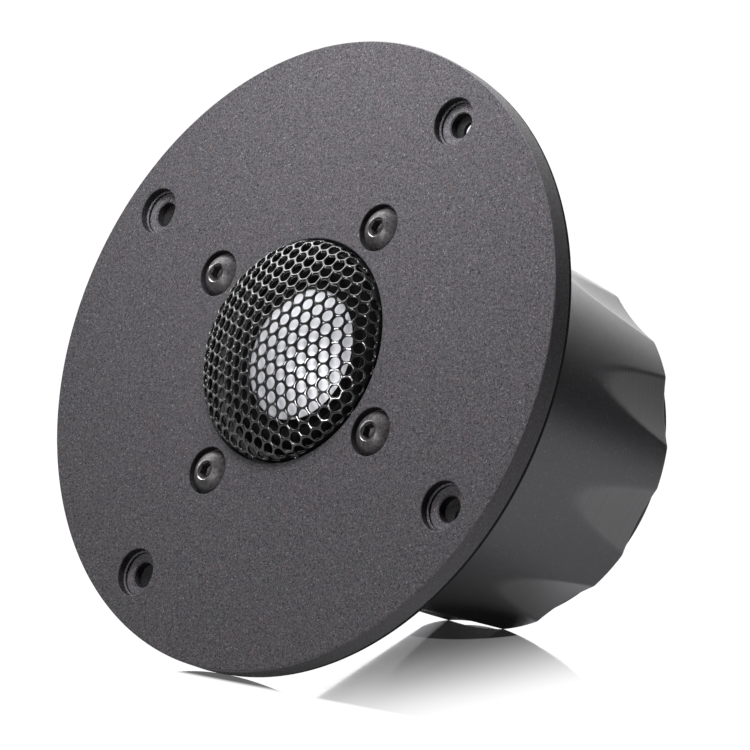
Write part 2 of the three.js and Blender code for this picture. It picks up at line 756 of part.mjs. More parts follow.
for (const [pole, side] of [['plus', 1], ['minus', -1]]) {
  add(`terminal_${pole}`, terminalBlade(pole), finishes.brass);
  add(`coil_tab_${pole}`, coilTab(side), finishes.brass);
  add(`coil_tail_${pole}`, coilTail(side), finishes.copper);
  add(`lead_${pole}`, lead(side), side > 0 ? finishes.redWire : finishes.blackWire);
}

export default tweeter;
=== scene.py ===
"""Looks for the dome tweeter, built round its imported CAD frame.

Sizes are in millimetres in the CAD frame: the origin is the centre of the mounting plane, the grille
faces -Y and +Z is up. MM turns them into Blender's metres when a mesh is made.
"""

import math

import bmesh
import bpy
import numpy as np
from mathutils import Matrix, Vector


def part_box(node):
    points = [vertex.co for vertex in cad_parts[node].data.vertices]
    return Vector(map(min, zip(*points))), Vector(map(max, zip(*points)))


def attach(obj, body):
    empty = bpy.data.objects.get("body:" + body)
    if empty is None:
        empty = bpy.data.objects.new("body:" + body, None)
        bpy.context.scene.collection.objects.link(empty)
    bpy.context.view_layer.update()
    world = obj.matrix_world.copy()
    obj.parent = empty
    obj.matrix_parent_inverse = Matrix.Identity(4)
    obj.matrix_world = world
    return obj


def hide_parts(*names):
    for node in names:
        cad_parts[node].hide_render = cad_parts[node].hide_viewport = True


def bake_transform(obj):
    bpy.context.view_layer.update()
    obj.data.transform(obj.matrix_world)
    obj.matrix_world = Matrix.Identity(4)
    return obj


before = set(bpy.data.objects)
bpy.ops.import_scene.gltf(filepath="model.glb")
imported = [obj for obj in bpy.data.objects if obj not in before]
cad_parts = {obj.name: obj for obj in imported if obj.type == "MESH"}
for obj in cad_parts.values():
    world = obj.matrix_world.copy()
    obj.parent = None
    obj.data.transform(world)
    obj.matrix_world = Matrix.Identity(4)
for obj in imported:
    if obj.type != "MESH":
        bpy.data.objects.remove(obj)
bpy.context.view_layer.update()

MM = 0.001


def low(node):
    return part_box(node)[0] / MM


def high(node):
    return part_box(node)[1] / MM


def middle(node):
    return (low(node) + high(node)) / 2


# ---------------- sizes

SEGMENTS = 256  # round a large turned piece
SMALL_SEGMENTS = 96  # round a screw or a hole

# front plate
FLANGE_RADIUS = high("front_plate").x
PLATE_FRONT = low("front_plate").y
PLATE_BACK = high("front_plate").y
OPENING_RADIUS = 19.6
LEDGE_RADIUS = 17.6
LEDGE_Y = -2.3
PLATE_EDGE = 0.35
DIAGONALS = [math.radians(45 + 90 * i) for i in range(4)]
MOUNT_RING = 47.0
MOUNT_SEAT = -2.4
HOLE_RADIUS = 2.2
COUNTERBORE_RADIUS = 4.1
COUNTERBORE_FLARE = 0.22
LEDGE_WIDTH = 0.32
LEDGE_CHAMFER = 0.12
HOLE_CHAMFER = 0.2
STEP_HEIGHT = 0.6
SCREW_LENGTH = 10.0
CLAMP_SEAT = high("plate_screw_1").y - SCREW_LENGTH
CLAMP_RING = math.hypot(middle("plate_screw_1").x, middle("plate_screw_1").z)

# gasket: its screw holes are small and cut by hand, each a little off centre
GASKET_INNER = 37.5
GASKET_OUTER = high("baffle_gasket").x
GASKET_HOLE = 1.4
GASKET_SLIPS = ((0.7, -0.4), (1.5, -0.9), (1.6, -0.9), (1.2, -0.9))

# clamp screws
HEAD_RADIUS = 3.8
HEAD_HEIGHT = 2.2
HEAD_RIM = 0.5
CROWN_FLAT = 1.75
SHANK_RADIUS = 1.85
SHANK_TAPER = 0.5
SOCKET_CORNER = 2.5 / math.sqrt(3)
SOCKET_DEPTH = 1.9
SOCKET_CONE = 0.5
SOCKET_MOUTH = 1.78
SCREW_TURN = 0.4  # how much further each screw is turned than the last

# grille: a crown on a large sphere, a tight corner and a straight wall
GRILLE_APEX = -11.0
CROWN_RADIUS = 40.0
CORNER_RADIUS = 2.5
WALL_RADIUS = 19.2
SHEET = 0.5
CELL_PITCH = 2.4
CELL_TURN = math.radians(-4.3)
CELL_START = np.array([-0.82, 0.79])
HOLE_IN_CELL = 1.0
WEB_ROUND = 0.15
WEB_FLAT = 0.32  # share of the way from the middle of a web to the hole
WEB_FALL = 0.012  # how far the flat part falls
HOLED_TO = 21.4  # cell centres nearer than this, along the sheet, have a hole

# dome and surround
DOME_APEX = -6.0
DOME_SPHERE = 18.4
DOME_EDGE = 12.7
DOME_SKIN = 0.25
COLLAR_RADIUS = 12.9
COLLAR_INNER = 12.68
COLLAR_END = 0.8
FORMER_INNER = 12.5
FORMER_START = -0.6
SURROUND_LIP = 11.5
SURROUND_FOLD = 12.85
SURROUND_FLANGE = 17.1
SURROUND_OUTER = 19.6
SURROUND_THICKNESS = 0.3
SURROUND_ROLL = 1.9
SURROUND_GLUE = 0.06

# rear housing and cap
HOUSING_FRONT_RADIUS = high("rear_housing").x
HOUSING_REAR_RADIUS = 33.0
HOUSING_REAR = high("rear_housing").y
HOUSING_BORE = 29.4
HOUSING_EDGE = 0.3
THROAT_RADIUS = 21.5
THROAT_BACK = 2.3
FLUTES = 10
FLUTE_PHASE = math.radians(2)
FLUTE_CUTTER = 40.0
FLUTE_START = 36.0
FLUTE_FLOOR_REAR = 31.8
FLUTE_BLEND = 0.1  # how softly a flute meets the housing's surface
CAP_RADIUS = high("rear_cap").x
CAP_REAR = high("rear_cap").y
CAP_RECESS_RADIUS = 17.0
CAP_RECESS_Y = 59.7
SPIGOT_RADIUS = 29.1
SPIGOT_WALL = 2.3
SPIGOT_FRONT = low("rear_cap").y
SEAL_Y = 56.9
SEAL_GROOVE_RADIUS = 28.0
SEAL_GROOVE_HALF = 0.65

# coil tails: the route from the winding across the joint to the tab
TAIL_RADIUS = 0.15
TAIL_ROUTE = ((13.0, 3.1), (13.15, 2.0), (13.45, 1.3), (14.4, 0.8), (16.5, 0.65), (20.3, 0.65))

# terminals
BLADE_ROOT_END = 61.8
BLADE_ROOT_THICKNESS = 1.2
BLADE_THICKNESS = 0.8
BLADE_TIP = 1.2
BLADE_TIP_INSET = 0.84
BLADE_INSET = 0.02  # from the root's sides to the blade's
BLADE_OVERLAP = 0.3  # how far the blade runs into its root
BLADE_BEVEL = 0.07
BOARD_BEVEL = 0.12
LATCH_HOLE = 0.75
LATCH_FROM_TIP = 3.4
SLOT_CLEARANCE = 0.3


# ---------------- materials


def feed(tree, socket, value):
    """Links another node's output to a socket, or sets the socket to a plain value."""
    if isinstance(value, bpy.types.NodeSocket):
        tree.links.new(value, socket)
    else:
        socket.default_value = value


def add_node(tree, kind, inputs=None, **settings):
    node = tree.nodes.new("ShaderNode" + kind)
    for key, value in settings.items():
        setattr(node, key, value)
    for key, value in (inputs or {}).items():
        feed(tree, node.inputs[key], value)
    return node


class Finish:
    """A procedural material: its shader node and what feeds it. Lengths in it are in millimetres."""

    def __init__(self, name, color, roughness, metallic=0.0, **constants):
        self.material = bpy.data.materials.new(name)
        self.material.use_nodes = True
        self.tree = self.material.node_tree
        self.shader = next(n for n in self.tree.nodes if n.type == "BSDF_PRINCIPLED")
        self.set("Base Color", (*color, 1))
        self.set("Roughness", roughness)
        self.set("Metallic", metallic)
        for key, value in constants.items():
            self.set(key.replace("_", " ").title().replace("Ior", "IOR"), value)
        object_place = self.add("TexCoord").outputs["Object"]
        self.place = self.add("VectorMath", {0: object_place, "Scale": 1 / MM}, operation="SCALE").outputs[0]

    def add(self, kind, inputs=None, **settings):
        return add_node(self.tree, kind, inputs, **settings)

    def set(self, socket, value):
        feed(self.tree, self.shader.inputs[socket], value)

    def noise(self, size, detail=2.0, place=None, roughness=0.5):
        """Soft noise from 0 to 1, whose features are about size across."""
        place = place or self.place
        inputs = {"Vector": place, "Scale": 1 / size, "Detail": detail, "Roughness": roughness}
        return self.add("TexNoise", inputs).outputs[0]

    def cells(self, size, output="Color"):
        inputs = {"Vector": self.place, "Scale": 1 / size}
        return self.add("TexVoronoi", inputs).outputs[output]

    def spread(self, value, low_in, high_in, low_out, high_out, smooth=False):
        """Maps a range of a value to another range."""
        kind = "SMOOTHSTEP" if smooth else "LINEAR"
        inputs = {0: value, 1: low_in, 2: high_in, 3: low_out, 4: high_out}
        return self.add("MapRange", inputs, interpolation_type=kind).outputs[0]

    def stretched(self, noise):
        """Spreads the middle of a noise over 0 to 1."""
        return self.spread(noise, 0.3, 0.7, 0, 1)

    def roughen(self, noise, low_end, high_end):
        """Varies the roughness between two values over the middle of a noise."""
        self.set("Roughness", self.spread(noise, 0.3, 0.7, low_end, high_end))

    def sum(self, a, b, operation="ADD"):
        return self.add("Math", {0: a, 1: b}, operation=operation).outputs[0]

    def mix(self, share, a, b):
        """Colour a where share is 0, and b where it is 1. Each is a socket or three numbers."""
        a, b = (c if isinstance(c, bpy.types.NodeSocket) else (*c, 1) for c in (a, b))
        return self.add("Mix", {0: share, 6: a, 7: b}, data_type="RGBA").outputs[2]

    def paint(self, share, a, b):
        self.set("Base Color", self.mix(share, a, b))

    def turned_place(self, along_turn, along_axis):
        """Coordinates that run round and along the Y axis, each stretched by its factor."""
        split = self.add("SeparateXYZ", {0: self.place})
        angle = self.sum(split.outputs["Z"], split.outputs["X"], "ARCTAN2")
        turn = self.sum(angle, along_turn, "MULTIPLY")
        axis = self.sum(split.outputs["Y"], along_axis, "MULTIPLY")
        return self.add("CombineXYZ", {0: turn, 1: axis}).outputs[0]

    def bump(self, height, depth):
        """Raises the surface by depth where height is 1."""
        inputs = {"Height": height, "Distance": depth * MM, "Strength": 1.0}
        self.set("Normal", self.add("Bump", inputs).outputs[0])


def grey(value):
    """A grey that is a touch blue."""
    return (value, value, value * 1.04)


# the coat's mean colour, and the colours of its hollows, grains, warm grains and flecks
COAT = (0.0163, 0.0156, 0.0169)
COAT_DARK = (0.001, 0.001, 0.0015)
COAT_LIGHT = (0.0356, 0.0343, 0.0369)
COAT_WARM = (0.036, 0.022, 0.021)
COAT_FLECK = (0.10, 0.096, 0.10)


def textured_coat(name="textured_coat", gain=1.0, sheen=0.03):
    """Fine-grained dark powder coat with a few bright flecks. The gain lightens or darkens it: the plate's
    lighter copy is painted light on the mounting screw seats, and its darker copy is painted shade on the
    counterbore walls.
    """
    dark, light, warm_color, fleck_color = (
        [value * gain for value in color] for color in (COAT_DARK, COAT_LIGHT, COAT_WARM, COAT_FLECK)
    )
    finish = Finish(name, COAT, 0.5, Specular_IOR_Level=sheen)
    finish.set("Specular Tint", (1.0, 0.93, 1.0, 1))
    fine = finish.noise(0.17, 2.0, roughness=0.6)
    coarse = finish.noise(0.5, 3.0, roughness=0.7)
    grain = finish.sum(finish.sum(fine, 0.65, "MULTIPLY"), finish.sum(coarse, 0.35, "MULTIPLY"))
    color = finish.mix(finish.spread(grain, 0.32, 0.68, 0, 1), dark, light)
    tint = finish.add("SeparateColor", {0: finish.cells(0.5)})
    color = finish.mix(finish.spread(tint.outputs[1], 0.86, 0.94, 0, 0.2), color, warm_color)
    spot = finish.add("SeparateColor", {0: finish.cells(0.17)})
    finish.paint(finish.spread(spot.outputs[0], 0.975, 0.995, 0, 0.4), color, fleck_color)
    finish.roughen(fine, 0.6, 0.42)
    finish.bump(grain, 0.05)
    return finish.material


def grille_black():
    """Gloss paint on pressed metal, a little uneven where it gathered."""
    finish = Finish("grille_black", grey(0.003), 0.1, Specular_IOR_Level=0.6)
    orange_peel = finish.noise(0.5, 2.0)
    finish.roughen(orange_peel, 0.07, 0.15)
    finish.paint(orange_peel, grey(0.001), grey(0.005))
    finish.bump(orange_peel, 0.01)
    return finish.material


def black_steel():
    """Oiled black oxide on a steel screw."""
    finish = Finish("black_steel", grey(0.06), 0.5, 0.55)
    mottle = finish.stretched(finish.noise(0.6, 5.0, roughness=0.75))
    finish.paint(mottle, (0.001, 0.001, 0.001), (0.040, 0.037, 0.039))
    finish.set("Roughness", finish.spread(mottle, 0, 1, 0.55, 0.4))
    finish.bump(finish.noise(0.25, 3.0), 0.02)
    return finish.material


def worn_steel():
    """The same steel with its oxide worn off, at the mouth of the socket."""
    finish = Finish("worn_steel", grey(0.6), 0.3, 1.0)
    mottle = finish.noise(0.3, 3.0, roughness=0.6)
    finish.paint(finish.stretched(mottle), grey(0.2), (0.6, 0.57, 0.555))
    finish.roughen(mottle, 0.4, 0.25)
    finish.bump(mottle, 0.006)
    return finish.material


def silver_dome():
    """Thin formed metal with a fine satin."""
    finish = Finish("silver_dome", grey(0.8), 0.6, 1.0)
    satin = finish.noise(0.25, 3.0)
    finish.roughen(satin, 0.64, 0.76)
    finish.paint(satin, grey(0.66), grey(0.76))
    finish.bump(satin, 0.004)
    return finish.material


def surround_cloth():
    """Coated woven cloth, pressed to shape."""
    finish = Finish("surround_cloth", grey(0.002), 0.8, Specular_IOR_Level=0.03)
    threads = finish.noise(1.0, 1.0, finish.turned_place(70, 4.5))
    mottle = finish.noise(0.35, 3.0, roughness=0.7)
    finish.paint(mottle, grey(0.0003), grey(0.0025))
    finish.roughen(threads, 0.65, 0.9)
    finish.bump(finish.sum(threads, mottle), 0.03)
    return finish.material


def foam():
    """Closed-cell black foam, cut from sheet."""
    finish = Finish("foam", grey(0.005), 0.9, Specular_IOR_Level=0.15)
    cells = finish.cells(0.3, "Distance")
    finish.paint(cells, grey(0.009), grey(0.002))
    finish.set("Roughness", finish.spread(cells, 0, 1, 0.85, 0.98))
    finish.bump(cells, -0.05)
    return finish.material


def anodised():
    """Satin black with a fine grain. The flutes are rougher and show the marks of the cutter."""
    finish = Finish("anodised", grey(0.01), 0.34, Specular_IOR_Level=0.6)
    finish.set("Specular Tint", (1.0, 0.97, 1.03, 1))
    split = finish.add("SeparateXYZ", {0: finish.place})
    along = split.outputs["Y"]
    flat = finish.add("CombineXYZ", {0: split.outputs["X"], 1: split.outputs["Z"]}).outputs[0]
    radius = finish.add("VectorMath", {0: flat}, operation="LENGTH").outputs["Value"]
    cone = finish.spread(along, 0, HOUSING_REAR, HOUSING_FRONT_RADIUS, HOUSING_REAR_RADIUS)
    flute = finish.spread(finish.sum(cone, radius, "SUBTRACT"), 0.04, 0.3, 0, 1, smooth=True)
    marks = finish.stretched(finish.noise(1.0, 4.0, finish.turned_place(1.2, 2.2), 0.75))
    rear = finish.spread(along, 24, 46, 0.1, 0.5, smooth=True)
    marks_depth = finish.sum(marks, finish.sum(rear, flute, "MAXIMUM"), "MULTIPLY")
    grain = finish.stretched(finish.noise(0.22, 3.0, roughness=0.7))
    color = finish.mix(grain, (0.001, 0.001, 0.0015), (0.014, 0.013, 0.016))
    bare = finish.sum(finish.spread(marks, 0, 1, 0.4, 1.15), flute, "MULTIPLY")
    color = finish.mix(bare, color, (0.075, 0.072, 0.073))
    spark = finish.add("SeparateColor", {0: finish.cells(0.2)}).outputs[0]
    finish.paint(finish.spread(spark, 0.96, 0.985, 0, 0.45), color, grey(0.10))
    finish.set("Roughness", finish.spread(finish.sum(flute, marks, "MULTIPLY"), 0.0, 1.0, 0.3, 0.5))
    finish.bump(finish.sum(marks_depth, grain), 0.014)
    return finish.material


def rear_cap_black():
    """Gloss blue-black moulding with a very faint flow pattern."""
    finish = Finish("rear_cap_black", (0.003, 0.004, 0.008), 0.15, Specular_IOR_Level=0.25)
    flow = finish.noise(6.0, 2.0)
    finish.roughen(flow, 0.12, 0.2)
    finish.paint(flow, (0.002, 0.003, 0.006), (0.004, 0.006, 0.011))
    finish.bump(flow, 0.02)
    return finish.material


def mottled(name, dark, light, size, roughness, metallic=0.0, depth=0.02, detail=3.0):
    """A plain finish that varies in colour, roughness and height over a given grain size."""
    finish = Finish(name, light, roughness, metallic)
    grain = finish.noise(size, detail, roughness=0.6)
    finish.paint(grain, dark, light)
    finish.set("Roughness", finish.spread(grain, 0.25, 0.75, roughness * 0.85, min(1, roughness * 1.15)))
    finish.bump(grain, depth)
    return finish.material


def wound_copper():
    """Enamelled wire wound in close turns."""
    finish = Finish("copper", (0.72, 0.27, 0.12), 0.3, 1.0)
    turns = finish.noise(1.0, 0.0, finish.turned_place(0.6, 9.0))
    finish.paint(turns, (0.5, 0.16, 0.06), (0.8, 0.33, 0.16))
    finish.roughen(turns, 0.25, 0.4)
    finish.bump(turns, 0.03)
    return finish.material


MATERIALS = {
    "textured_coat": textured_coat(),
    # a lighter copy of the coat: painted light on the seats of the mounting screws
    "painted_light_coat": textured_coat("painted_light_coat", gain=1.55),
    "edge_coat": textured_coat("edge_coat", gain=1.1, sheen=0.33),
    # a darker copy of the coat: painted shade on the walls of the counterbores
    "painted_shade_coat": textured_coat("painted_shade_coat", gain=0.45),
    "foam": foam(),
    "grille_black": grille_black(),
    "black_steel": black_steel(),
    "worn_steel": worn_steel(),
    "silver_dome": silver_dome(),
    "surround_cloth": surround_cloth(),
    "anodised": anodised(),
    "rear_cap_black": rear_cap_black(),
    "copper": wound_copper(),
}

# dark and light colour, grain size, roughness, and where they differ metallic, depth and detail
PLAIN_FINISHES = {
    "moulded_plastic": (grey(0.012), grey(0.022), 0.4, 0.55),
    "former_film": ((0.32, 0.17, 0.04), (0.42, 0.24, 0.07), 1.2, 0.4, 0.0, 0.004),
    "plated_steel": (grey(0.32), grey(0.5), 0.8, 0.35, 0.95, 0.008),
    "ferrite": (grey(0.025), grey(0.045), 0.5, 0.65, 0.1, 0.03),
    "felt": (grey(0.10), grey(0.22), 0.35, 0.95, 0.0, 0.25, 5.0),
    "seal_rubber": (grey(0.012), grey(0.02), 0.6, 0.6),
    "board": ((0.05, 0.022, 0.008), (0.09, 0.045, 0.018), 1.0, 0.5),
    "brass": ((0.50, 0.32, 0.12), (0.66, 0.46, 0.20), 0.7, 0.3, 1.0, 0.006),
    "red_wire": ((0.30, 0.012, 0.01), (0.42, 0.02, 0.016), 0.8, 0.45),
    "black_wire": (grey(0.008), grey(0.016), 0.8, 0.45),
}
MATERIALS.update({name: mottled(name, *values) for name, values in PLAIN_FINISHES.items()})


# ---------------- mesh building


def outline(*corners, steps=6):
    """A closed [radius, y] outline. A corner with a third number is rounded to that radius."""
    points = []
    for i, corner in enumerate(corners):
        here = Vector(corner[:2])
        if len(corner) == 2:
            points.append(tuple(here))
            continue
        before = (Vector(corners[i - 1][:2]) - here).normalized()
        after = (Vector(corners[(i + 1) % len(corners)][:2]) - here).normalized()
        half = before.angle(after) / 2
        centre = here + (before + after).normalized() * corner[2] / math.sin(half)
        reach = corner[2] / math.tan(half)
        start, end = here + before * reach - centre, here + after * reach - centre
        sweep = math.pi - 2 * half
        for k in range(steps + 1):
            share = k / steps
            arm = start * math.sin((1 - share) * sweep) + end * math.sin(share * sweep)
            points.append(tuple(centre + arm / math.sin(sweep)))
    return points


def turned(points, segments=SEGMENTS):
    """Vertices and faces of an outline turned about Y. Points on the axis are shared."""
    vertices, rows = [], []
    angles = [2 * math.pi * i / segments for i in range(segments)]
    for radius, y in points:
        start = len(vertices)
        if radius < 1e-6:
            rows.append([start] * segments)
            vertices.append((0, y, 0))
        else:
            rows.append(list(range(start, start + segments)))
            vertices += [(radius * math.cos(a), y, radius * math.sin(a)) for a in angles]
    return vertices, stitched(rows)


def stitched(rows):
    """Faces between each closed row of vertices and the next, and from the last back to the first."""
    faces = []
    for a, b in zip(rows, rows[1:] + rows[:1]):
        for i in range(len(a)):
            j = (i + 1) % len(a)
            face = list(dict.fromkeys((a[i], a[j], b[j], b[i])))
            if len(face) > 2:
                faces.append(face)
    return faces


def mesh_object(name, vertices, faces, material=None, sharp=32.0):
    """A mesh from points in millimetres, with its faces turned outwards."""
    mesh = bpy.data.meshes.new(name)
    mesh.from_pydata([Vector(v) * MM for v in vertices], [], faces)
    work = bmesh.new()
    work.from_mesh(mesh)
    bmesh.ops.remove_doubles(work, verts=work.verts, dist=1e-4 * MM)
    bmesh.ops.recalc_face_normals(work, faces=work.faces)
    work.to_mesh(mesh)
    work.free()
    piece = bpy.data.objects.new(name, mesh)
    bpy.context.scene.collection.objects.link(piece)
    if material:
        mesh.materials.append(MATERIALS[material])
    shade(piece, sharp)
    return piece


def shade(piece, sharp=32.0):
    piece.data.shade_smooth()
    piece.data.set_sharp_from_angle(angle=math.radians(sharp))


def lathe(name, points, material=None, segments=SEGMENTS):
    return mesh_object(name, *turned(points, segments), material)


def cut(piece, tools, sharp=32.0, operation="DIFFERENCE"):
    """Cuts the tools, which don't touch one another, from a piece, or adds them to it."""
    with bpy.context.temp_override(active_object=tools[0], selected_editable_objects=tools):
        bpy.ops.object.join()
    tool = tools[0]
    modifier = piece.modifiers.new("cut", "BOOLEAN")
    modifier.object = tool
    modifier.solver = "EXACT"
    modifier.operation = operation
    apply_modifiers(piece)
    bpy.data.objects.remove(tool)
    shade(piece, sharp)
    return piece


def apply_modifiers(piece):
    graph = bpy.context.evaluated_depsgraph_get()
    made = bpy.data.meshes.new_from_object(piece.evaluated_get(graph))
    piece.modifiers.clear()
    piece.data = made


def even_normals(piece):
    """Lets the large flat faces set the shading, so that a narrow rounded edge doesn't tilt them."""
    modifier = piece.modifiers.new("even_normals", "WEIGHTED_NORMAL")
    modifier.keep_sharp = True


def slab(name, points, x, thickness, material=None):
    """A flat piece of an even thickness along X, from the corners of its side as [y, z]."""
    count = len(points)
    vertices = [(x + side * thickness / 2, y, z) for side in (-1, 1) for y, z in points]
    faces = [list(range(count)), list(range(count, 2 * count))]
    faces += [(i, (i + 1) % count, count + (i + 1) % count, count + i) for i in range(count)]
    return mesh_object(name, vertices, faces, material)


def bevelled(piece, width):
    """Rounds every edge a little."""
    modifier = piece.modifiers.new("bevel", "BEVEL")
    modifier.width = width * MM
    modifier.segments = 3
    modifier.limit_method = "ANGLE"
    modifier.harden_normals = True
    apply_modifiers(piece)
    return piece


def moved(piece, x, y, z):
    piece.data.transform(Matrix.Translation(Vector((x, y, z)) * MM))
    return piece


def settle(piece, body, slot, *nodes):
    """Rides on a body and hides the CAD nodes that it stands for. Its slot is not used."""
    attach(piece, body)
    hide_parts(*nodes)
    return piece


# ---------------- front plate, gasket, screws


def around(ring, bearing):
    """X and Z at a bearing on a ring round the axis."""
    return ring * math.cos(bearing), ring * math.sin(bearing)


def counterbore(ring, bearing, seat, step=0.0):
    """The tool for a screw hole: a flared mouth, a flat seat and a through hole. A step leaves a
    narrow ledge above the seat."""
    flare, past = COUNTERBORE_FLARE, 1.0
    wall = COUNTERBORE_RADIUS
    ledge = wall - LEDGE_WIDTH if step else wall
    shelf = seat - step
    narrowing = [(wall, shelf), (ledge + LEDGE_CHAMFER, shelf), (ledge, shelf + LEDGE_CHAMFER)]
    points = outline(
        (0, PLATE_FRONT - past),
        (wall + flare, PLATE_FRONT - past),
        (wall + flare, PLATE_FRONT - 0.004),
        *[
            (wall + flare * (1 - math.sin(a)), PLATE_FRONT + flare * (1 - math.cos(a)))
            for a in (math.radians(15 * k) for k in range(1, 6))
        ],
        (wall, PLATE_FRONT + flare),
        *(narrowing if step else []),
        (ledge, seat),
        (HOLE_RADIUS + HOLE_CHAMFER, seat),
        (HOLE_RADIUS, seat + HOLE_CHAMFER),
        (HOLE_RADIUS, PLATE_BACK + past),
        (0, PLATE_BACK + past),
    )
    tool = lathe("tool", points, segments=SMALL_SEGMENTS)
    x, z = around(ring, bearing)
    return moved(tool, x, 0, z)


PLATE_FINISHES = ("textured_coat", "painted_light_coat", "edge_coat", "painted_shade_coat")


def from_nearest(place, ring):
    """How far a place is from the axis of the nearest of the four holes on a ring."""
    return min(math.hypot(place.x - x, place.z - z) for x, z in (around(ring, a) for a in DIAGONALS))


def plate_finish(place, normal):
    """Name of the plate's finish at a place: the coat, a lighter copy where the mounting screws seat that is
    painted light, one with more sheen on the rim, and a darker copy on the walls of the counterbores that is
    painted shade."""
    if math.hypot(place.x, place.z) > FLANGE_RADIUS - PLATE_EDGE / 2:
        return "edge_coat"
    from_mount, from_clamp = from_nearest(place, MOUNT_RING), from_nearest(place, CLAMP_RING)
    on_front = place.y < PLATE_FRONT + 0.15
    if on_front or min(from_mount, from_clamp) > COUNTERBORE_RADIUS + 0.1:
        return "textured_coat"
    # painted shade: the walls of the counterbores, also round the clamp screws, get the darker copy of the
    # coat
    if abs(normal.y) < 0.5:
        return "painted_shade_coat"
    # painted light: the seats of the mounting screws, and the ledges above them, get the lighter copy of the
    # coat
    on_seat = from_mount < COUNTERBORE_RADIUS and place.y < MOUNT_SEAT + 0.1
    return "painted_light_coat" if on_seat else "textured_coat"


def front_plate():
    points = outline(
        (LEDGE_RADIUS, PLATE_BACK, 0.1),
        (LEDGE_RADIUS, LEDGE_Y, 0.15),
        (OPENING_RADIUS, LEDGE_Y, 0.1),
        (OPENING_RADIUS, PLATE_FRONT, 0.25),
        (FLANGE_RADIUS, PLATE_FRONT, PLATE_EDGE),
        (FLANGE_RADIUS, PLATE_BACK, 0.2),
    )
    plate = lathe("front_plate_look", points, PLATE_FINISHES[0])
    tools = [counterbore(MOUNT_RING, bearing, MOUNT_SEAT, STEP_HEIGHT) for bearing in DIAGONALS]
    tools += [counterbore(CLAMP_RING, bearing, CLAMP_SEAT) for bearing in DIAGONALS]
    cut(plate, tools)
    for name in PLATE_FINISHES[1:]:
        plate.data.materials.append(MATERIALS[name])
    for face in plate.data.polygons:
        face.material_index = PLATE_FINISHES.index(plate_finish(face.center / MM, face.normal))
    even_normals(plate)
    return settle(plate, "chassis", "textured_coat", "front_plate")


def through_hole(x, z, radius, near=-2.0, far=2.0):
    """The tool for a plain round hole along Y."""
    tool = lathe("tool", outline((0, near), (radius, near), (radius, far), (0, far)), segments=48)
    return moved(tool, x, 0, z)


def baffle_gasket():
    points = outline(
        (GASKET_INNER, PLATE_BACK, 0.1),
        (GASKET_OUTER, PLATE_BACK, 0.15),
        (GASKET_OUTER, 0, 0.15),
        (GASKET_INNER, 0, 0.1),
    )
    gasket = lathe("baffle_gasket_look", points, "foam")
    tools = []
    for bearing, (slip_x, slip_z) in zip(DIAGONALS, GASKET_SLIPS):
        x, z = around(MOUNT_RING, bearing)
        tools.append(through_hole(x + slip_x, z + slip_z, GASKET_HOLE))
    cut(gasket, tools)
    return settle(gasket, "chassis", "foam", "baffle_gasket")


def clamp_screw(index, bearing):
    """A button-head socket screw. Its crown is part of a sphere, and the socket has a chamfered mouth."""
    drop = HEAD_HEIGHT - HEAD_RIM
    centre_y = (HEAD_RADIUS**2 - CROWN_FLAT**2 - drop**2) / (2 * drop)
    sphere = math.hypot(HEAD_RADIUS, centre_y)
    start, end = (math.asin(r / sphere) for r in (CROWN_FLAT, HEAD_RADIUS))
    steps = 12
    crown = []
    for k in range(steps):
        angle = start + (end - start) * k / steps
        crown.append((sphere * math.sin(angle), centre_y - HEAD_RIM - sphere * math.cos(angle)))
    body = outline(
        (0, -HEAD_HEIGHT),
        *crown,
        (HEAD_RADIUS, -HEAD_RIM),
        (HEAD_RADIUS, 0, 0.1),
        (SHANK_RADIUS, 0),
        (SHANK_RADIUS, SCREW_LENGTH - SHANK_TAPER),
        (SHANK_RADIUS - SHANK_TAPER, SCREW_LENGTH),
        (0, SCREW_LENGTH),
    )
    screw = lathe(f"plate_screw_{index}_look", body, "black_steel", SMALL_SEGMENTS)
    floor = SOCKET_DEPTH - HEAD_HEIGHT
    hexagon = outline((0, -4), (SOCKET_CORNER, -4), (SOCKET_CORNER, floor), (0, floor + SOCKET_CONE))
    cut(screw, [lathe("tool", hexagon, segments=6)], sharp=28)
    top = -HEAD_HEIGHT
    mouth = outline(
        (0, top - 1),
        (SOCKET_MOUTH + 0.05, top - 1),
        (SOCKET_MOUTH + 0.05, top - 0.01),
        (SOCKET_MOUTH - 0.04, top + 0.05),
        (SOCKET_MOUTH - 0.14, top + 0.16),
        (SOCKET_MOUTH - 0.3, top + 0.4),
        (0, top + 0.4),
    )
    cut(screw, [lathe("tool", mouth, segments=SMALL_SEGMENTS)], sharp=28)
    screw.data.materials.append(MATERIALS["worn_steel"])
    for face in screw.data.polygons:
        out = math.hypot(face.center.x, face.center.z) / MM
        deep = face.center.y / MM - top
        if SOCKET_MOUTH - 0.15 < out < SOCKET_MOUTH and 0.001 < deep < 0.4:
            face.material_index = 1
    screw.data.transform(Matrix.Rotation(bearing + SCREW_TURN * index, 4, "Y"))
    x, z = around(CLAMP_RING, bearing)
    moved(screw, x, CLAMP_SEAT, z)
    even_normals(screw)
    return settle(screw, "chassis", "black_steel", f"plate_screw_{index}")


# ---------------- grille

CORNER_X = WALL_RADIUS - CORNER_RADIUS
CORNER_Y = GRILLE_APEX + CROWN_RADIUS - math.sqrt((CROWN_RADIUS - CORNER_RADIUS) ** 2 - CORNER_X**2)
CROWN_TILT = math.asin(CORNER_X / (CROWN_RADIUS - CORNER_RADIUS))
CROWN_LENGTH = CROWN_RADIUS * CROWN_TILT
CORNER_LENGTH = CORNER_RADIUS * (math.pi / 2 - CROWN_TILT)
SHEET_LENGTH = CROWN_LENGTH + CORNER_LENGTH + LEDGE_Y - CORNER_Y

SIDE_STEPS = 4  # along each side of a cell
# share of the way to the end of the sheet, and depth, along the hem's front and back again
HEM_ROWS = [(share, 0.0) for share in (0, 0.25, 0.5, 0.75, 1)]
HEM_ROWS += [(share, SHEET) for share in (1, 0.75, 0.5, 0.25, 0)]


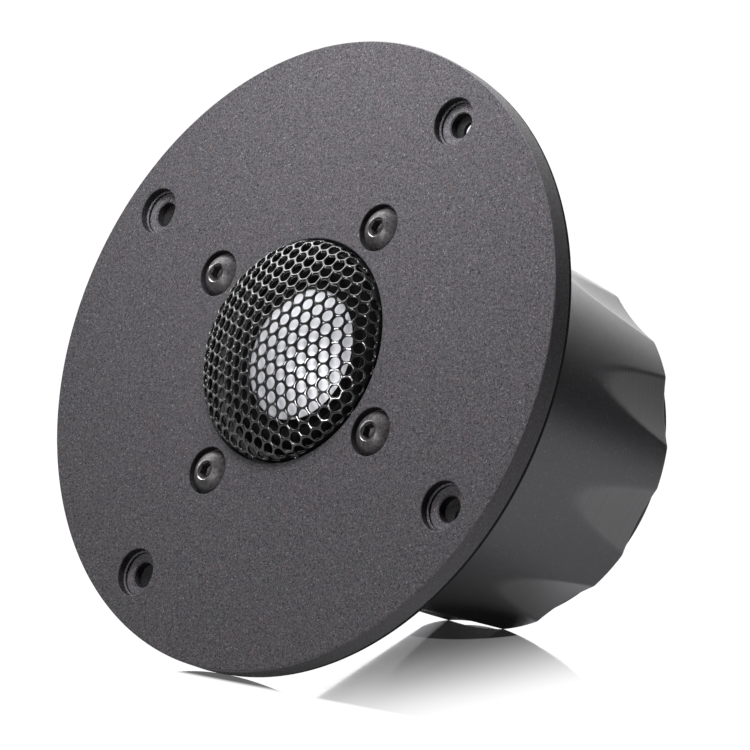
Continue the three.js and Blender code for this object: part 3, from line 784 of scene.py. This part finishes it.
def pressed(flat, depth):
    """Places points of the flat sheet, at a depth below its front, on the pressed grille."""
    along = np.linalg.norm(flat, axis=1)
    way = flat / np.maximum(along, 1e-9)[:, None]
    corner = along - CROWN_LENGTH
    wall = np.maximum(corner - CORNER_LENGTH, 0)
    tilt = np.where(corner < 0, along / CROWN_RADIUS, CROWN_TILT + corner / CORNER_RADIUS)
    tilt = np.minimum(tilt, math.pi / 2)
    on_crown = corner < 0
    centre_x = np.where(on_crown, 0, CORNER_X)
    centre_y = np.where(on_crown, GRILLE_APEX + CROWN_RADIUS, CORNER_Y)
    reach = np.where(on_crown, CROWN_RADIUS, CORNER_RADIUS) - depth
    radius = centre_x + reach * np.sin(tilt)
    y = centre_y - reach * np.cos(tilt) + wall
    return np.column_stack([way[:, 0] * radius, y, way[:, 1] * radius])


def web_section():
    """From the middle of a web to its back: share of the way to the hole, and depth. The top is
    nearly flat, with a rounded edge."""
    section = [(0.0, 0.0), (WEB_FLAT * 0.6, WEB_FALL / 3), (WEB_FLAT, WEB_FALL)]
    for angle in np.linspace(0, math.pi / 2, 6)[1:]:
        share = WEB_FLAT + (1 - WEB_FLAT) * math.sin(angle)
        section.append((share, WEB_FALL + WEB_ROUND * (1 - math.cos(angle))))
    section += [(1.0, SHEET - 0.1), (0.93, SHEET - 0.02), (0.8, SHEET), (0.0, SHEET)]
    return section


def cell_edge():
    """Points round a six-sided cell, from its centre."""
    corners = [
        np.array([math.cos(a), math.sin(a)]) * CELL_PITCH / math.sqrt(3)
        for a in (CELL_TURN + math.pi / 3 * k for k in range(7))
    ]
    return np.array(
        [
            corners[k] + (corners[k + 1] - corners[k]) * step / SIDE_STEPS
            for k in range(6)
            for step in range(SIDE_STEPS)
        ]
    )


def cell_centres():
    column_way = np.array([math.cos(CELL_TURN), math.sin(CELL_TURN)]) * CELL_PITCH * math.sqrt(3) / 2
    row_way = np.array([-math.sin(CELL_TURN), math.cos(CELL_TURN)]) * CELL_PITCH
    reach = range(-14, 15)
    centres = []
    for column in reach:
        for row in reach:
            centre = column_way * column + row_way * (row + (column % 2) / 2) + CELL_START
            if np.linalg.norm(centre) < HOLED_TO:
                centres.append(centre)
    return centres


def grille():
    """A sheet of round holes whose webs rise to six-sided ridges, pressed into a low dome."""
    edge, centres, section = cell_edge(), cell_centres(), web_section()
    hole = edge / np.linalg.norm(edge, axis=1)[:, None] * HOLE_IN_CELL
    flat, depth, faces = [], [], []
    count = len(edge)
    for centre in centres:
        start = len(flat)
        for share, down in section:
            flat += list(centre + edge + (hole - edge) * share)
            depth += [down] * count
        for ring in range(len(section) - 1):
            a, b = start + ring * count, start + (ring + 1) * count
            faces += [(a + i, a + (i + 1) % count, b + (i + 1) % count, b + i) for i in range(count)]
    add_hem(flat, depth, faces, centres, edge)
    points = pressed(np.array(flat), np.array(depth))
    piece = mesh_object("grille_look", points, faces, "grille_black", sharp=50)
    return settle(piece, "chassis", "grille_black", "grille")


def add_hem(flat, depth, faces, centres, edge):
    """A plain band from the outermost cells to the end of the sheet, which sits on the plate's ledge."""
    for centre in centres:
        for side in range(6):
            rim = [edge[(side * SIDE_STEPS + k) % len(edge)] for k in range(SIDE_STEPS + 1)]
            neighbour = centre + rim[0] + rim[-1]
            if np.min(np.linalg.norm(np.array(centres) - neighbour, axis=1)) < 0.1:
                continue
            inner = [centre + place for place in rim]
            outer = [place / np.linalg.norm(place) * SHEET_LENGTH for place in inner]
            rows = []
            for share, down in HEM_ROWS:
                rows.append(len(flat))
                flat += [p + (q - p) * share for p, q in zip(inner, outer)]
                depth += [down] * len(rim)
            for a, b in zip(rows, rows[1:]):
                faces += [(a + k, a + k + 1, b + k + 1, b + k) for k in range(SIDE_STEPS)]


# ---------------- dome and surround


def sphere_y(sphere, radius):
    """Y at a radius on a sphere round the dome's centre."""
    return DOME_APEX + DOME_SPHERE - math.sqrt(sphere**2 - radius**2)


def dome():
    radii = [DOME_EDGE * math.sin(math.pi / 2 * k / 36) for k in range(37)]
    front = [(r, sphere_y(DOME_SPHERE, r)) for r in radii]
    inner = DOME_SPHERE - DOME_SKIN
    inside = [(r, sphere_y(inner, r)) for r in reversed(radii) if r < FORMER_INNER - 0.2]
    points = [
        *front,
        (COLLAR_RADIUS, front[-1][1] + 0.15),
        (COLLAR_RADIUS, COLLAR_END),
        (COLLAR_INNER, COLLAR_END),
        (COLLAR_INNER, FORMER_START - 0.1),
        (FORMER_INNER, FORMER_START - 0.2),
        *inside,
    ]
    piece = lathe("dome_look", points, "silver_dome")
    return settle(piece, "diaphragm", "silver_dome", "dome")


def surround_front(radius):
    """Front of the surround: a lip on the dome, a half roll and a flat flange."""
    lip_y = sphere_y(DOME_SPHERE, min(radius, DOME_EDGE)) - SURROUND_THICKNESS - SURROUND_GLUE
    if radius <= SURROUND_FOLD:
        return lip_y
    if radius >= SURROUND_FLANGE:
        return 0.0
    share = (radius - SURROUND_FOLD) / (SURROUND_FLANGE - SURROUND_FOLD)
    return lip_y * (1 - share) - SURROUND_ROLL * math.sin(math.pi * share)


def surround():
    radii = list(np.linspace(SURROUND_LIP, SURROUND_FOLD, 8))
    radii += list(np.linspace(SURROUND_FOLD, SURROUND_FLANGE, 33))[1:] + [SURROUND_OUTER]
    front = [(r, surround_front(r)) for r in radii]
    back = [(r, surround_front(r) + SURROUND_THICKNESS) for r in reversed(radii)]
    piece = lathe("surround_look", front + back, "surround_cloth", segments=192)
    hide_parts("surround")
    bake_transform(piece)
    return piece


# ---------------- rear housing and cap


def cone_radius(y):
    return HOUSING_FRONT_RADIUS + (HOUSING_REAR_RADIUS - HOUSING_FRONT_RADIUS) * y / HOUSING_REAR


def scoop_radius(angle, y):
    """Radius of a flute's floor: the near side of a wide cylinder that leans in towards the rear."""
    start = cone_radius(FLUTE_START)
    lean = math.atan2(start - FLUTE_FLOOR_REAR, HOUSING_REAR - FLUTE_START)
    axis_x = (start + FLUTE_FLOOR_REAR) / 2 + FLUTE_CUTTER / math.cos(lean)
    step = 2 * math.pi / FLUTES
    off = (angle - FLUTE_PHASE + step / 2) % step - step / 2
    across, along = np.cos(off) * math.cos(lean), np.sin(off)
    shift = math.sin(lean) * (y - (FLUTE_START + HOUSING_REAR) / 2) - math.cos(lean) * axis_x
    a = across**2 + along**2
    b = 2 * across * shift
    c = shift**2 - FLUTE_CUTTER**2
    return (-b - np.sqrt(np.maximum(b * b - 4 * a * c, 0))) / (2 * a)


def housing_radius(angle, y):
    """The lesser of the cone and the flutes, with a softened edge where they meet."""
    cone, scoop = cone_radius(y), scoop_radius(angle, y)
    share = np.clip(0.5 + 0.5 * (scoop - cone) / FLUTE_BLEND, 0, 1)
    return scoop + (cone - scoop) * share - FLUTE_BLEND * share * (1 - share)


def rear_housing():
    count = 720
    angles = np.arange(count) * 2 * math.pi / count
    quarter = np.linspace(0, math.pi / 2, 5)
    edge = HOUSING_EDGE
    # Y, and how far the skin is inside the cone and flutes there
    skin = [(PLATE_BACK + edge * (1 - math.cos(a)), edge * (1 - math.sin(a))) for a in quarter]
    skin += [(y, 0.0) for y in np.linspace(2, FLUTE_START - 3, 12)]
    skin += [(y, 0.0) for y in np.linspace(FLUTE_START - 2, HOUSING_REAR - edge, 84)]
    skin += [(HOUSING_REAR - edge * (1 - math.sin(a)), edge * (1 - math.cos(a))) for a in quarter[1:]]
    rows = [(housing_radius(angles, y) - inset, y) for y, inset in skin]
    inner = [
        (HOUSING_BORE + 0.2, HOUSING_REAR),
        (HOUSING_BORE, HOUSING_REAR - 0.2),
        (HOUSING_BORE, THROAT_BACK),
        (THROAT_RADIUS, THROAT_BACK),
        (THROAT_RADIUS, PLATE_BACK),
    ]
    rows += [(np.full(count, radius), y) for radius, y in inner]
    points = [
        np.column_stack([radii * np.cos(angles), np.full(count, y), radii * np.sin(angles)])
        for radii, y in rows
    ]
    faces = stitched([list(range(i * count, (i + 1) * count)) for i in range(len(rows))])
    piece = mesh_object("rear_housing_look", np.vstack(points), faces, "anodised", sharp=40)
    holes = [through_hole(*around(CLAMP_RING, a), HOLE_RADIUS, far=4.0) for a in DIAGONALS]
    cut(piece, holes, sharp=40)
    return settle(piece, "chassis", "anodised", "rear_housing")


def rear_cap():
    points = outline(
        (0, CAP_RECESS_Y),
        (0, HOUSING_REAR),
        (SPIGOT_RADIUS - SPIGOT_WALL, HOUSING_REAR, 0.4),
        (SPIGOT_RADIUS - SPIGOT_WALL, SPIGOT_FRONT, 0.3),
        (SPIGOT_RADIUS, SPIGOT_FRONT, 0.3),
        (SPIGOT_RADIUS, SEAL_Y - SEAL_GROOVE_HALF),
        (SEAL_GROOVE_RADIUS, SEAL_Y - SEAL_GROOVE_HALF),
        (SEAL_GROOVE_RADIUS, SEAL_Y + SEAL_GROOVE_HALF),
        (SPIGOT_RADIUS, SEAL_Y + SEAL_GROOVE_HALF),
        (SPIGOT_RADIUS, HOUSING_REAR),
        (CAP_RADIUS, HOUSING_REAR, 0.25),
        (CAP_RADIUS, CAP_REAR, 0.6),
        (CAP_RECESS_RADIUS, CAP_REAR, 0.2),
        (CAP_RECESS_RADIUS, CAP_RECESS_Y, 0.15),
    )
    piece = lathe("rear_cap_look", points, "rear_cap_black")
    even_normals(piece)
    return settle(piece, "chassis", "rear_cap_black", "rear_cap")


# ---------------- terminals


def oblong(low_y, high_y, half):
    """Corners [y, z] of a rectangle that is half high to each side of Z 0."""
    return [(low_y, -half), (high_y, -half), (high_y, half), (low_y, half)]


def blade(pole):
    """A push-on blade with a pointed tip and a latch hole, on a thicker root."""
    node = f"terminal_{pole}"
    half, x = (high(node).z - low(node).z) / 2, middle(node).x
    start, end = low(node).y, high(node).y
    shoulder = end - BLADE_TIP
    tip = half - BLADE_TIP_INSET
    edge = BLADE_INSET - half
    side = [(BLADE_ROOT_END - BLADE_OVERLAP, edge), (shoulder, edge), (end, -tip)]
    side += [(y, -z) for y, z in reversed(side)]
    piece = slab(f"{node}_look", oblong(start, BLADE_ROOT_END, half), x, BLADE_ROOT_THICKNESS, "brass")
    cut(piece, [slab("tool", side, x, BLADE_THICKNESS)], operation="UNION")
    hole = through_hole(0, 0, LATCH_HOLE)
    hole.data.transform(Matrix.Rotation(math.pi / 2, 4, "Z"))
    cut(piece, [moved(hole, x, end - LATCH_FROM_TIP, 0)])
    bevelled(piece, BLADE_BEVEL)
    return settle(piece, "chassis", "brass", node)


def terminal_board():
    """A small board with a slot for each blade."""
    node = "terminal_board"
    front, back = low(node).y, high(node).y
    width = high(node).x - low(node).x
    piece = slab(f"{node}_look", oblong(front, back, high(node).z), middle(node).x, width, "board")
    tools = []
    for pole in ("plus", "minus"):
        terminal = f"terminal_{pole}"
        slot = oblong(front - 1, back + 1, high(terminal).z + SLOT_CLEARANCE / 2)
        tools.append(slab("tool", slot, middle(terminal).x, BLADE_ROOT_THICKNESS + SLOT_CLEARANCE))
    cut(piece, tools)
    bevelled(piece, BOARD_BEVEL)
    return settle(piece, "chassis", "board", node)


# ---------------- coil tails


def wire(name, points, radius, material, steps=8, sides=12):
    """A round wire along a smooth curve through points that all have the same Z."""
    points = [Vector(point) for point in points]
    ends = [2 * points[0] - points[1], *points, 2 * points[-1] - points[-2]]
    path = []
    for a, b, c, d in zip(ends, ends[1:], ends[2:], ends[3:]):
        for t in np.arange(0, 1, 1 / steps):
            bend = (c - a) * t + (2 * a - 5 * b + 4 * c - d) * t**2 + (3 * b - a - 3 * c + d) * t**3
            path.append(b + bend / 2)
    path.append(points[-1])
    level = Vector((0, 0, 1))
    vertices = []
    for i, place in enumerate(path):
        along = path[min(i + 1, len(path) - 1)] - path[max(i - 1, 0)]
        across = along.cross(level).normalized()
        for k in range(sides):
            angle = 2 * math.pi * k / sides
            vertices.append(place + (across * math.cos(angle) + level * math.sin(angle)) * radius)
    last = len(vertices) - sides
    faces = [list(range(sides)), list(range(last, last + sides))]
    for row in range(0, last, sides):
        for k in range(sides):
            j = (k + 1) % sides
            faces.append((row + k, row + j, row + sides + j, row + sides + k))
    return mesh_object(name, vertices, faces, material, sharp=60)


def coil_tail(pole, side):
    """A fine wire from the winding to its tab."""
    name = f"coil_tail_{pole}"
    piece = wire(f"{name}_look", [(side * x, y, 0) for x, y in TAIL_ROUTE], TAIL_RADIUS, "copper")
    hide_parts(name)
    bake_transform(piece)


# ---------------- parts out of sight

NODE_FINISHES = {
    "diaphragm_gasket": "foam",
    "diaphragm_frame": "moulded_plastic",
    "coil_former": "former_film",
    "coil_winding": "copper",
    "top_plate": "plated_steel",
    "magnet": "ferrite",
    "pole_yoke": "plated_steel",
    "pole_cap": "copper",
    "pole_pad": "felt",
    "chamber_damping": "felt",
    "cap_seal": "seal_rubber",
    "coil_tab_plus": "brass",
    "coil_tab_minus": "brass",
    "lead_plus": "red_wire",
    "lead_minus": "black_wire",
}


def finish_nodes():
    """Gives the CAD meshes that stay their materials."""
    for node, finish in NODE_FINISHES.items():
        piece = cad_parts[node]
        piece.data.materials.clear()
        piece.data.materials.append(MATERIALS[finish])


# ---------------- floor, light and camera

# the photo's view: the point it is centred on, then how far off, from where and how tilted it is
CAMERA_AIM = Vector((8.1, 7.7, -2.4))
CAMERA_DISTANCE = 577.0
CAMERA_AZIMUTH = math.radians(40.496)
CAMERA_ELEVATION = math.radians(-20.036)
CAMERA_ROLL = math.radians(2.259)
CAMERA_LENS = 164.94


def turn_to(piece, x_way, y_way, z_way):
    """Turns a piece so that its own axes lie along three directions."""
    piece.rotation_mode = "QUATERNION"
    piece.rotation_quaternion = Matrix((x_way, y_way, z_way)).transposed().to_quaternion()


def camera_axes():
    """Right, up and back of the camera."""
    a, e = CAMERA_AZIMUTH, CAMERA_ELEVATION
    back = Vector((math.sin(a) * math.cos(e), -math.cos(a) * math.cos(e), math.sin(e)))
    level = Vector((math.cos(a), math.sin(a), 0))
    above = back.cross(level)
    right = level * math.cos(CAMERA_ROLL) + above * math.sin(CAMERA_ROLL)
    return right, back.cross(right), back


def add_camera():
    right, up, back = camera_axes()
    data = bpy.data.cameras.new("camera")
    data.sensor_width, data.lens = 36.0, CAMERA_LENS
    data.clip_start, data.clip_end = 0.01, 20.0
    camera = bpy.data.objects.new("camera", data)
    turn_to(camera, right, up, back)
    camera.location = (CAMERA_AIM + back * CAMERA_DISTANCE) * MM
    bpy.context.scene.collection.objects.link(camera)
    bpy.context.scene.camera = camera


def lowest(pieces, up):
    """The lowest reach of the pieces along a direction, in millimetres."""
    least = math.inf
    for piece in pieces:
        co = np.empty(len(piece.data.vertices) * 3)
        piece.data.vertices.foreach_get("co", co)
        least = min(least, float((co.reshape(-1, 3) @ np.array(up)).min()))
    return least / MM


def rest_direction(front, rear):
    """Up from the surface that the tweeter lies on, on its flange and both sides of a flute."""
    flute = FLUTE_PHASE - 3 * 2 * math.pi / FLUTES
    least, most = math.radians(5), math.radians(45)
    for _ in range(40):
        tilt = (least + most) / 2
        across, along = math.cos(tilt), math.sin(tilt)
        up = Vector((-math.cos(flute) * across, -along, -math.sin(flute) * across))
        if lowest(front, up) < lowest(rear, up):
            least = tilt
        else:
            most = tilt
    return up


FLOOR_RADIUS = 300.0
FLOOR_SHINE = 0.88
CONTACT_SHINE = 0.985  # where the housing stands


def floor_material():
    """White, and shiny behind the flange, more so where the housing stands on it. Its glow is dimmed in a
    soft patch under the tweeter as a painted shadow, and where the housing stands the mirror takes the place
    of the glow, so the dark reflection there also stands in for a contact shadow. Its own X runs from the
    flange to the rear."""
    finish = Finish("floor", grey(0.33), 0.05, 1.0)
    output = next(n for n in finish.tree.nodes if n.type == "OUTPUT_MATERIAL")
    split = finish.add("SeparateXYZ", {0: finish.place})
    behind, across = split.outputs["X"], finish.sum(split.outputs["Y"], 0.0, "ABSOLUTE")
    finish.roughen(finish.noise(9.0), 0.04, 0.07)

    def ellipse(centre, size, start, end):
        """1 within start times the size round a centre, which falls to 0 at end times the size."""
        offset = finish.add("VectorMath", {0: finish.place, 1: centre}, operation="SUBTRACT").outputs[0]
        scaled = finish.add("VectorMath", {0: offset, 1: size}, operation="DIVIDE").outputs[0]
        length = finish.add("VectorMath", {0: scaled}, operation="LENGTH").outputs["Value"]
        return finish.spread(length, start, end, 1, 0, smooth=True)

    shine = finish.spread(across, 4, 56, FLOOR_SHINE, 0, smooth=True)
    shine = finish.sum(shine, finish.spread(behind, -4.5, -3, 0, 1), "MULTIPLY")
    # partly painted contact shadow: where the housing stands the floor is almost all mirror, so its glow is
    # gone and it shows the dark reflection of the housing's underside
    contact = finish.sum(ellipse((63, 0, 0), (20, 15, 1), 0.8, 1.0), CONTACT_SHINE, "MULTIPLY")
    shine = finish.sum(shine, contact, "MAXIMUM")
    # painted shadow: a soft patch under the tweeter where the floor's glow is dimmed
    shade = ellipse((30, -6, 0), (52, 40, 1), 0.3, 1.0)
    glow_with_painted_shadow = finish.spread(shade, 0, 1, 1.08, 0.9)
    white = finish.add("Emission", {"Color": (1, 1, 1, 1), "Strength": glow_with_painted_shadow})
    lit = finish.add("MixShader", {0: shine, 1: white.outputs[0], 2: finish.shader.outputs[0]})
    clear = finish.add("BsdfTransparent")
    under = finish.add("NewGeometry").outputs["Backfacing"]
    shown = finish.add("MixShader", {0: under, 1: lit.outputs[0], 2: clear.outputs[0]})
    feed(finish.tree, output.inputs[0], shown.outputs[0])
    return finish.material


def add_floor(pieces, up):
    """A round white floor that the pieces just touch. It can't be seen from below."""
    axis = Vector((0, 1, 0))
    rearwards = (axis - up.y * up).normalized()
    segments = 128
    vertices = [(0, 0, 0)]
    for k in range(segments):
        angle = 2 * math.pi * k / segments
        vertices.append((FLOOR_RADIUS * math.cos(angle), FLOOR_RADIUS * math.sin(angle), 0))
    faces = [(0, k + 1, (k + 1) % segments + 1) for k in range(segments)]
    floor = mesh_object("floor", vertices, faces)
    floor.data.materials.append(floor_material())
    turn_to(floor, rearwards, up.cross(rearwards), up)
    touch = -FLANGE_RADIUS * (up - up.y * axis).normalized()
    floor.location = (touch + up * (lowest(pieces, up) - touch.dot(up))) * MM


BACKDROP = 1.05  # what the camera sees behind the floor
BASE_LIGHT = 0.04
# Soft patches of light round the tweeter, each with a direction, the cosines where it starts and is
# full, and how much it adds. Near is towards the camera, and near, right and up are square to each
# other, with up square to the floor.
SKY = [
    ({"near": -1.0, "up": 0.15}, 0.6, 0.95, 2.3),
    ({"near": -0.7, "right": 0.7, "up": 0.15}, 0.7, 0.95, 0.1),
    ({"near": -0.5, "right": 0.6, "up": 0.6}, 0.8, 0.96, 0.3),
    ({"near": 0.5, "right": 0.75, "up": 0.4}, 0.85, 0.96, 0.5),
    ({"near": -0.66, "right": -0.66, "up": 0.36}, 0.75, 0.93, 1.4),
    ({"near": -0.45, "right": -0.3, "up": 0.8}, 0.82, 0.94, 9.5),
    ({"right": 0.3, "up": 0.95}, 0.85, 0.96, 1.5),
]
# place, target, width, height, watts, and whether it shows in shiny surfaces
LAMPS = {
    "key": ((10, -590, -106), (0, 0, 0), 80, 150, 4.7, True),
    "above": ((34, -112, 103), (14, 0, 54), 110, 50, 1.46, False),
}


def add_world(up):
    """White to the camera. As light it is a dim room with soft patches: the strongest is high and
    behind, and the others are mostly behind, at the left and overhead."""
    back = camera_axes()[2]
    near = (back - back.dot(up) * up).normalized()
    axes = {"near": near, "right": up.cross(near), "up": up}
    world = bpy.data.worlds.new("studio")
    bpy.context.scene.world = world
    world.use_nodes = True
    tree = world.node_tree
    tree.nodes.clear()

    way = add_node(tree, "TexCoord").outputs["Generated"]
    level = BASE_LIGHT
    for parts, start, end, amount in SKY:
        aim = sum((axes[k] * v for k, v in parts.items()), Vector((0, 0, 0))).normalized()
        share = add_node(tree, "VectorMath", {0: way, 1: aim}, operation="DOT_PRODUCT").outputs["Value"]
        inputs = {0: share, 1: start, 2: end, 3: 0.0, 4: amount}
        patch = add_node(tree, "MapRange", inputs, interpolation_type="SMOOTHSTEP").outputs[0]
        level = add_node(tree, "Math", {0: level, 1: patch}).outputs[0]
    light = add_node(tree, "Background", {"Strength": level})
    seen = add_node(tree, "Background", {"Color": (1, 1, 1, 1), "Strength": BACKDROP})
    eye = add_node(tree, "LightPath").outputs["Is Camera Ray"]
    mixed = add_node(tree, "MixShader", {0: eye, 1: light.outputs[0], 2: seen.outputs[0]})
    add_node(tree, "OutputWorld", {0: mixed.outputs[0]})


def add_lamps():
    """Rectangular area lights that the camera doesn't see."""
    for name, (place, target, width, height, watts, shows) in LAMPS.items():
        data = bpy.data.lights.new(name, "AREA")
        data.shape, data.size, data.size_y = "RECTANGLE", width * MM, height * MM
        data.energy = watts
        light = bpy.data.objects.new(name, data)
        light.location = Vector(place) * MM
        light.rotation_mode = "QUATERNION"
        light.rotation_quaternion = (Vector(place) - Vector(target)).to_track_quat("Z", "Y")
        light.visible_camera = False
        light.visible_glossy = shows
        bpy.context.scene.collection.objects.link(light)


# ---------------- assembly

front = [front_plate(), baffle_gasket()]
rear = [rear_housing(), rear_cap()]
grille()
for index, bearing in enumerate(DIAGONALS, 1):
    clamp_screw(index, bearing)
dome()
surround()
coil_tail("plus", 1)
coil_tail("minus", -1)
blade("plus")
blade("minus")
terminal_board()
finish_nodes()

add_camera()
resting = rest_direction(front, rear)
add_floor(front + rear, resting)
add_world(resting)
add_lamps()
bpy.context.scene.view_settings.view_transform = "Standard"
